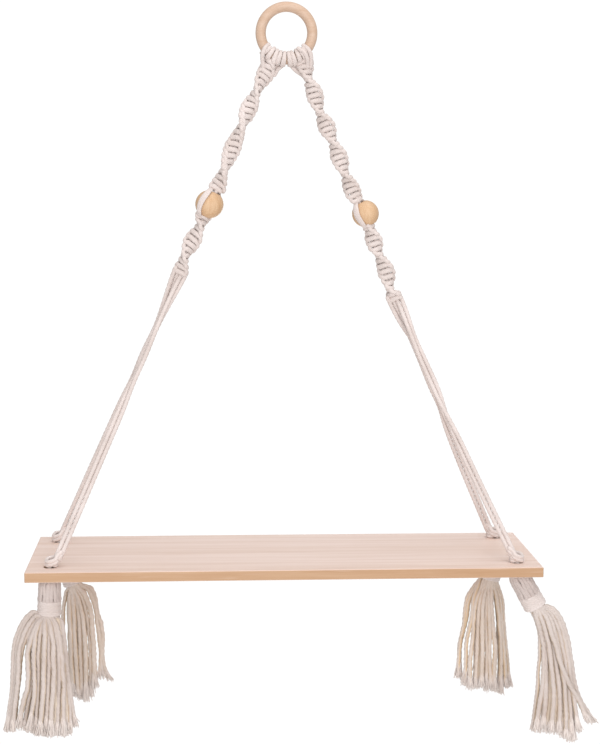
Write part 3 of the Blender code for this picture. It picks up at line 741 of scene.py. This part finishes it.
def bead_cords(skein, side):
    """Two cords through the bead's bore, and two that pass round its outside, front and rear."""
    centre, along, across = bead_frame(side)
    above, below = place_of(side.upper[-1]), place_of(side.lower[0])
    for way in (-1, 1):
        route = spline([above - 0.004 * along, above, centre, below, below + 0.004 * along], spacing=0.0015)
        skein.add(route + way * TAUT_CORD * BACKWARDS, 0.0020, sides=10)
    reach = side.bead_diameter / 2 + OVER_THICKNESS + 0.0002
    path = spline([(o.across, o.down, 0, o.half) for o in side.over], count=60)
    front = np.array([on_ball(x, y, centre, reach) for x, y in path[:, :2]])
    along_part = ((front - centre) @ along)[:, None] * along
    beside = front - centre - along_part
    beside[:, [0, 2]] *= -side.behind
    beside[:, 1] *= -1
    rear = centre + reach * unit(along_part + beside)
    for route in (front, rear):
        inward = unit(centre + ((route - centre) @ along)[:, None] * along - route)
        first = route[0] - 0.005 * along + 0.003 * inward[0]
        last = route[-1] + 0.005 * along + 0.003 * inward[-1]
        whole = np.concatenate([[first], smooth(route, 7)[2:-2:5], [last]])
        half = np.concatenate([[TAUT_CORD], path[2:-2:5, 3], [TAUT_CORD]])
        line = spline(np.c_[whole, half], spacing=0.0008)
        thick = OVER_THICKNESS + 0.4 * (OVER_WIDTH - line[:, 3])
        skein.add(line[:, :3], line[:, 3], thick, line[:, :3] - centre, 14)
    collar_drop = side.bead_diameter / 2 + 0.0008
    turn = np.linspace(0, 2 * math.pi, 40)
    below_bead = centre + collar_drop * unit(below - centre)
    loop = below_bead + COLLAR_RADIUS * turned(turn, across) + 0.0008 * np.sin(turn)[:, None] * along
    skein.add(loop, CORE_CORD, sides=10, round_ends=False)


def ties(skein, side):
    """The cords that run down from the ring into the braid."""
    for places in side.ties:
        route = spline([on_plane(*place) for place in places], spacing=0.0012)
        skein.add(route, TAUT_CORD)


def loose_cords(skein, side):
    """The four cords between the braid and the board."""
    start = place_of(side.lower[-1])
    down = np.linspace(0, 1, 260)
    rows = side.loose
    at = [r.down for r in rows]
    for corner in CORNERS:
        if corner.sign != side.sign:
            continue
        row = "front" if corner.depth < 0 else "rear"
        end = np.array(
            (corner.knot_x - side.sign * KNOT_ENTRY, corner.depth * HOLE_Y, BOARD_TOP + 0.75 * KNOT_HEIGHT)
        )
        along = unit(end - start)
        across = unit(np.cross(along, BACKWARDS))
        shift = np.interp(down, at, [getattr(r, f"{row}_shift") for r in rows])
        turn = np.radians(np.interp(down, at, [getattr(r, f"{row}_turn") for r in rows]))
        eased = smooth(np.stack([shift, turn], 1), 25)
        line = start + (end - start) * down[:, None] + eased[:, :1] * across
        apart = CORD / 2 * turned(eased[:, 1], across)
        for way in (-1, 1):
            route = line + way * apart
            route = np.concatenate([route[:1] - 0.003 * along, route])
            skein.add(spline(route, spacing=0.0012), CORD / 2, plies=0.07)


def hole(corner, height):
    """The middle of a corner's hole at a height."""
    return np.array((BOARD_SHIFT + corner.sign * HOLE_X, corner.depth * HOLE_Y, height))


def stopper_knot(skein, corner):
    """The knot above a hole: both cords cross over its front, go round behind it and down the hole."""
    centre = np.array((corner.knot_x, corner.depth * HOLE_Y, BOARD_TOP + KNOT_HEIGHT / 2))
    inward = -corner.sign
    half = corner.knot_half
    for way in (-1, 1):
        lift = way * 0.0016
        places = [
            (inward * 0.0078, -0.001, 0.0075 + lift),
            (inward * 0.0040, -0.0030, 0.0042 + lift),
            (inward * half * 0.30, -0.0050, 0.0012 + lift),
            (-inward * half * 0.45, -0.0046, -0.0012 + lift),
            (-inward * half * 0.78, -0.0008, -0.0014 + lift),
            (-inward * half * 0.52, 0.0036, 0.0008 + lift),
            (inward * half * 0.20, 0.0046, 0.0010 + lift),
            (inward * half * corner.knot_low, 0.0022, -0.0012 + lift),
            (inward * half * corner.knot_low, -0.0022, -0.0020 + lift),
            (inward * half * 0.18, -0.0030, -0.0030 + 0.3 * lift),
            (0.0, way * 0.0019, -0.0052),
            (0.0, way * 0.0019, -0.0120),
        ]
        route = spline(centre + np.array(places), spacing=0.0008)
        off_hole = np.linalg.norm((route - hole(corner, 0))[:, :2], axis=1) >= HOLE_REACH
        route[off_hole, 2] = np.maximum(route[off_hole, 2], BOARD_TOP + TAUT_CORD)
        skein.add(route, TAUT_CORD, CORE_CORD, plies=0.05)
    for way in (-1, 1):
        spread = np.array((0, way * 0.0020, 0))
        top = hole(corner, BOARD_TOP + 0.003) + spread
        bottom = hole(corner, BOARD_TOP - BOARD_THICKNESS - 0.002) + spread
        skein.add(spline([top, (top + bottom) / 2, bottom], spacing=0.002), TAUT_CORD)


def head_frame(corner):
    """The top of a tassel's head, its neck, its downward direction, and a direction square to that."""
    top = hole(corner, BOARD_TOP - BOARD_THICKNESS - GAP)
    neck = np.array((corner.neck_x, top[1], corner.neck_z))
    along = unit(neck - top)
    return top, neck, along, unit(np.cross(along, BACKWARDS))


def head(corner):
    """The cords folded over the top of a tassel, down to under its binding."""
    skein = Skein()
    top, neck, along, across = head_frame(corner)
    for i in range(SHEATH_STRANDS):
        angle = 2 * math.pi * (i + 0.5) / SHEATH_STRANDS
        away, level = turned(angle, across), turned(angle, RIGHTWARDS)
        radius = HEAD_RADIUS - 0.0015 + rng.uniform(-0.0002, 0.0002)
        wide = rng.uniform(0.0019, 0.0023)
        drift = 0.0007 * math.sin(2.4 * i + corner.neck_x) * turned(angle + math.pi / 2, across)
        places = [
            (*(top - 0.0024 * UPWARDS + 0.0015 * level), 0.0014),
            (*(top - 0.0026 * UPWARDS + 0.0052 * level), wide * 0.9),
            (*(top + HEAD_SHOULDER * 0.8 * along + radius * away - drift), wide),
            (*(neck - (BINDING_LENGTH + 0.004) * along + (radius + 0.0004) * away + drift), wide * 1.15),
            (*(neck - BINDING_LENGTH * 0.95 * along + (radius + 0.0010) * away + 0.4 * drift), wide),
            (*(neck - BINDING_LENGTH * 0.7 * along + radius * away), wide),
        ]
        line = spline(places, spacing=0.0012)
        route = line[:, :3]
        outward = route - (top + along * ((route - top) @ along)[:, None]) + 0.001 * away
        skein.add(route, line[:, 3], SHEATH_THICKNESS, outward, plies=0.09)
    core = np.linspace(0.004, np.linalg.norm(neck - top) - 0.002, 8)[:, None] * along + top
    skein.add(core, HEAD_CORE, sides=14)
    return skein


def strand(skein, threads, route, radius, away, hidden):
    """One strand, whose last stretch comes apart into threads. A hidden one has fewer faces and threads."""
    left_over = reach_along(route[::-1])[::-1]
    frayed = FRAY * rng.uniform(0.7, 1.3)
    fray = np.clip(1 - left_over / frayed, 0, 1)
    swell = smooth(rng.uniform(0.75, 1.25, (len(route), 1)), 9)[:, 0]
    wide = radius * swell * (1 - 0.35 * fray**2)
    keep = np.flatnonzero(left_over > CORD_END)
    if hidden:
        keep = keep[::2]
        skein.add(route[keep], wide[keep], sides=7)
    else:
        skein.add(route[keep], wide[keep], wide[keep] * 0.95, carried(route, away)[keep], plies=0.11)
    split = route[left_over < frayed]
    share = np.linspace(0, 1, len(split))
    number = THREADS // 2 if hidden else THREADS
    for j in range(number):
        way = j * GOLDEN_ANGLE
        home = math.sqrt((j + 0.5) / number)
        loose = 2.2 if j % 11 == 5 else 1.0
        spread = radius[-1] * home * (0.66 + loose * rng.uniform(0.55, 1.15) * share)
        bend = loose * rng.uniform(-0.0014, 0.0014, 3) * (share**2)[:, None]
        thread = (split + spread[:, None] * turned(way, RIGHTWARDS) + bend)[::2]
        if j % 3 == 0:
            thread = thread[:-1]
        thick = THREAD_RADIUS * (1.3 if hidden else 1.0)
        threads.add(thread, thick * np.linspace(1.0, 0.9, len(thread)), sides=4, round_ends=False)


def tassel(corner):
    """A tassel's strands, from under the binding to their frayed ends."""
    skein, inner, threads = Skein(), Skein(), Skein()
    _, neck, along, across = head_frame(corner)
    locks = []
    for lock in LOCKS[corner.name]:
        if locks and locks[-1].behind and lock.behind:
            last = locks[-1]
            ends = [spline([(*p, 0) for p in one.places], count=8)[:, :2] for one in (last, lock)]
            locks.append(Lock(2, min(last.forward, lock.forward, -0.1) - 1.0, (ends[0] + ends[1]) / 2))
        locks.append(lock)
    depth = corner.depth * HOLE_Y
    lines = []
    for lock in locks:
        path = spline([(*p, 0) for p in lock.places], count=STRAND_POINTS)
        lines.append(np.array([on_plane(x, y, depth) for x, y, _ in path]))
    at = np.linspace(0, 1, STRAND_POINTS)
    left, right = (reach([line[:, 0] for line in lines], 0) for reach in (np.min, np.max))
    middle, half = (left + right) / 2, (right - left) / 2 + 0.001
    full = [n for n, lock in enumerate(locks) if lock.behind]
    for n, (lock, line) in enumerate(zip(locks, lines)):
        u = np.clip((line[:, 0] - middle) / half, -1, 1)
        round_ = np.sqrt(np.clip(1 - u * u, 0.04, 1)) * np.maximum(half * TASSEL_FLATNESS, LEAST_DEPTH)
        rows = ROWS[lock.behind]
        for r, row in enumerate(rows):
            row += rng.uniform(-0.14, 0.14) if 0 < r < len(rows) - 1 else 0
            swing = rng.uniform(-0.0012, 0.0012) if r else 0.0
            sway = smooth(rng.uniform(-0.0040, 0.0040, (STRAND_POINTS, 1)), 7)[:, 0]
            sway *= np.sin(math.pi * at**0.8)
            deep = depth + row * round_ + sway[::-1] * at
            if r == 0:
                deep -= lock.forward * FORWARD_STEP * np.sin(0.5 * math.pi * at**0.6)
            nearness = (deep - CAMERA_PLACE[1]) / (depth - CAMERA_PLACE[1])
            route = CAMERA_PLACE + (line - CAMERA_PLACE) * nearness[:, None]
            route[:, 0] += swing * at + (sway if r else 0.6 * sway)
            if r:
                route[:, 2] = heights + rng.uniform(0.0, 0.005) * at
            else:
                heights = route[:, 2]
            u0 = np.clip((line[0, 0] - neck[0]) / NECK_REACH, -0.97, 0.97)
            away = u0 * across + row * math.sqrt(1 - u0 * u0) * BACKWARDS
            root = neck - 0.006 * along + ROOT_REACH * away
            between = lock.behind == 2
            brow = neck + 0.0005 * along + (INNER_BROW_REACH if between else BROW_REACH) * away
            body = route[4:] if r else route[np.linalg.norm(route - brow, axis=1) > 0.0052]
            whole = np.concatenate([[root, brow], body])
            size = STRAND_RADIUS * rng.uniform(0.86, 1.16)
            grown = np.clip(np.linspace(0.80, 2.2, len(whole)), 0, 1) * size
            path = spline(np.c_[whole, grown], spacing=0.0014)
            hidden = 0 < r < len(rows) - 1
            # Strands inside the tassel, and front ones put between two that show, take the painted shade
            # colour: a yellower tone for the warm shade deep in the tassel.
            inside = (hidden and n not in (full[0], full[-1])) or (r == 0 and between)
            strand(inner if inside else skein, threads, path[:, :3], path[:, 3], away, hidden)
    return skein, inner, threads


def binding(corner):
    """The thin cord wound round a tassel's neck."""
    skein = Skein()
    _, neck, along, across = head_frame(corner)
    radius = 0.5 * BINDING_LENGTH / BINDING_TURNS
    steps = 36 * BINDING_TURNS
    phase = np.linspace(0, 2 * math.pi * BINDING_TURNS, steps)
    down = np.linspace(radius, BINDING_LENGTH - radius, steps)
    outward = turned(phase, across)
    reach = BINDING_RADIUS - 0.0010 + 0.00020 * np.sin(phase * 0.37) - 0.0004 * (1 - down / BINDING_LENGTH)
    route = neck - (BINDING_LENGTH - down)[:, None] * along + reach[:, None] * outward
    skein.add(route, radius * 1.25, 0.0010, outward, 10)
    return skein


def mesh_object(name, points, faces, finish, flat=False):
    """A mesh with one finish as an object."""
    mesh = bpy.data.meshes.new(name)
    mesh.from_pydata([tuple(p) for p in points], [], faces)
    mesh.polygons.foreach_set("use_smooth", [not flat] * len(faces))
    mesh.materials.append(finish)
    mesh.update()
    return linked(name, mesh)


def closed_surface(name, points, finish):
    """An object whose surface closes both ways through points laid out in rows and columns."""
    rows, columns = points.shape[:2]
    faces = []
    for i in range(rows):
        for k in range(columns):
            i2, k2 = (i + 1) % rows, (k + 1) % columns
            faces.append((i * columns + k, i2 * columns + k, i2 * columns + k2, i * columns + k2))
    return mesh_object(name, points.reshape(-1, 3), faces, finish)


def ring(finish):
    """The turned wooden ring."""
    a, b = full_turn(160), full_turn(36)
    outward = np.stack([np.cos(a), 0 * a, np.sin(a)], 1)
    size = RING_SECTION / 2
    wobble = 1 + 0.006 * np.sin(2 * a + 0.7)
    reach = RING_RADIUS + size * np.cos(b)[None, :] * wobble[:, None]
    points = RING_CENTRE + outward[:, None] * reach[..., None] + BACKWARDS * (size * np.sin(b))[None, :, None]
    dress(closed_surface("ring_turned", points, finish), "ring")


def bead(side, finish):
    """A turned bead with a softly broken edge round its bore."""
    centre, along, across = bead_frame(side)
    radius = side.bead_diameter / 2
    bore = BEAD_BORE / 2
    rim = math.asin(bore / radius)
    angles = np.linspace(rim + 0.07, math.pi - rim - 0.07, 33)
    height = radius * math.cos(rim)
    edge = [(bore + 0.0002, height - 0.0004), (bore, height - 0.0012)]
    profile = [(r, -h) for r, h in edge[::-1]]
    profile += [(radius * math.sin(t), -radius * math.cos(t)) for t in angles]
    reach, rise = np.array(profile + edge).T
    outward = turned(full_turn(56), across)
    points = centre + rise[:, None] * along + reach[:, None] * outward[:, None]
    dress(closed_surface(f"bead_{side.name}_turned", points, finish), f"bead_{side.name}")


def pose(right, up, back, place):
    """The matrix of a thing at a place that looks away from back."""
    made = Matrix((right, up, back)).transposed().to_4x4()
    made.translation = place
    return made


def camera():
    """The photograph's viewpoint."""
    data = bpy.data.cameras.new("camera")
    data.sensor_width = 36
    data.lens = FOCAL * data.sensor_width / PICTURE_HEIGHT
    data.clip_end = 50
    made = linked("camera", data)
    right, ahead, up = CAMERA_TURN.T
    made.matrix_world = pose(right, up, -ahead, CAMERA_PLACE)
    bpy.context.scene.camera = made


def light(name, place, size, power):
    """A soft square lamp that looks at the shelf's middle."""
    data = bpy.data.lights.new(name, "AREA")
    data.size = size
    data.energy = power
    back = unit(np.array(place) - LIT_PLACE)
    side = unit(np.cross(UPWARDS, back))
    linked(name, data).matrix_world = pose(side, np.cross(back, side), back, place)


def studio():
    """A pale floor well below the shelf, soft lamps and an even white surround."""
    world = bpy.data.worlds.new("studio")
    bpy.context.scene.world = world
    world.use_nodes = True
    tree = world.node_tree
    lit, shown = tree.nodes["Background"], tree.nodes.new("ShaderNodeBackground")
    for node, strength in ((lit, 0.62), (shown, 1.05)):
        node.inputs["Color"].default_value = (1, 1, 1, 1)
        node.inputs["Strength"].default_value = strength
    path = tree.nodes.new("ShaderNodeLightPath")
    mix = tree.nodes.new("ShaderNodeMixShader")
    tree.links.new(path.outputs["Is Camera Ray"], mix.inputs[0])
    tree.links.new(lit.outputs[0], mix.inputs[1])
    tree.links.new(shown.outputs[0], mix.inputs[2])
    tree.links.new(mix.outputs[0], tree.nodes["World Output"].inputs["Surface"])
    light("key", (0.4, -2.2, 0.15), 1.4, 24)
    light("front", (-0.7, -2.2, -0.6), 1.6, 16)
    light("top", (0.2, -0.3, 1.6), 1.4, 17)
    light("back", (0.3, 2.3, -0.80), 1.4, 14)
    g = Graph("pale_floor")
    where = g.node("ShaderNodeTexCoord").outputs["Object"]
    tone = g.noise(where, 6.0, 3.0)
    colour = g.mix(g.spread(tone, 0.3, 0.7), (0.80, 0.80, 0.79, 1), (0.84, 0.84, 0.83, 1))
    g.give(g.shader, {"Base Color": colour, "Roughness": 0.8})
    turn = full_turn(96)
    points = np.stack([FLOOR_RADIUS * np.cos(turn), FLOOR_RADIUS * np.sin(turn), 0 * turn + FLOOR_HEIGHT], 1)
    floor = mesh_object("floor", points, [tuple(range(len(turn)))], g.material, flat=True)
    bpy.context.scene.view_settings.view_transform = "Standard"
    bpy.context.scene.view_settings.look = "None"


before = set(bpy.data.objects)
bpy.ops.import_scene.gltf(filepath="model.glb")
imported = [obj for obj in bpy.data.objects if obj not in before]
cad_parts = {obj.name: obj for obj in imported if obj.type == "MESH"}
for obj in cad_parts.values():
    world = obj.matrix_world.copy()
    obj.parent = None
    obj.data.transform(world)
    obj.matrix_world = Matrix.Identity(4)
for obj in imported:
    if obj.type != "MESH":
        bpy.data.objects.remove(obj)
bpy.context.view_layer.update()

camera()
studio()

cotton = {
    name: cotton_material(f"cotton_{name}_dressed", *look)
    for name, look in {
        "cord": ((222, 210, 206), (205, 191, 185)),
        # painted shade: head is a darker copy of cord, for the board's shade over the tassels' heads.
        "head": ((202, 189, 184), (184, 169, 164)),
        # The last colour of front and rear is painted shade on the strands' flanks, between neighbouring
        # strands.
        "front": ((209, 197, 191), (194, 179, 171), 1.3, (207, 184, 156)),
        # painted light: rear is a lighter copy of front, making up for the board's shade over the rear
        # tassels.
        "rear": ((219, 206, 197), (203, 186, 172), 1.3, (217, 189, 153)),
        # painted shade: strands deep inside a tassel take a yellower colour for the warm shade there.
        "inner": ((223, 208, 193), (207, 189, 171), 1.3),
        "threads": ((231, 221, 216), (216, 203, 196), 0.12),
    }.items()
}
board_finish = wood_material(
    "board_wood_dressed", (231, 209, 199), (218, 192, 177), (2.2, 70.0, 70.0), 0.5,
    edge=(190, 155, 124), edge_line=(172, 132, 98),
)
ring_finish = wood_material(
    "ring_wood_dressed", (202, 175, 155), (190, 158, 133), (26.0, 160.0, 160.0), 0.45, tuple(RING_CENTRE)
)
bead_finish = wood_material("bead_wood_dressed", (210, 177, 143), (193, 154, 116), (130.0, 130.0, 24.0), 0.42)

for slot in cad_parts["board"].material_slots:
    slot.material = board_finish

ring(ring_finish)
for side in SIDES:
    bead(side, bead_finish)
    builds = [
        ("wraps", ring_wraps),
        ("ties", ties),
        ("bead_cords", bead_cords),
        ("loose_cords", loose_cords),
        ("braid_upper", braid, side.upper),
        ("braid_lower", braid, side.lower),
    ]
    for name, build, *stops in builds:
        skein = Skein()
        build(skein, side, *stops)
        dress(skein.object(f"{name}_{side.name}", cotton["cord"]), f"macrame_{side.name}")
for corner in CORNERS:
    skein = Skein()
    stopper_knot(skein, corner)
    side_name = "left" if corner.sign < 0 else "right"
    dress(skein.object(f"knot_{corner.name}", cotton["cord"]), f"macrame_{side_name}")
    strands, inner, threads = tassel(corner)
    parts = [
        # painted shade: the heads take the darker head cotton.
        ("head", head(corner), "head"),
        # painted light: rear tassels take the lighter copy of the tassel cotton.
        ("strands", strands, "front" if corner.depth < 0 else "rear"),
        ("inner", inner, "inner"),
        ("threads", threads, "threads"),
    ]
    for label, part, finish in parts:
        dress(part.object(f"tassel_{label}_{corner.name}", cotton[finish]), f"tassel_{corner.name}")
    dress(binding(corner).object(f"binding_wound_{corner.name}", cotton["cord"]), f"binding_{corner.name}")
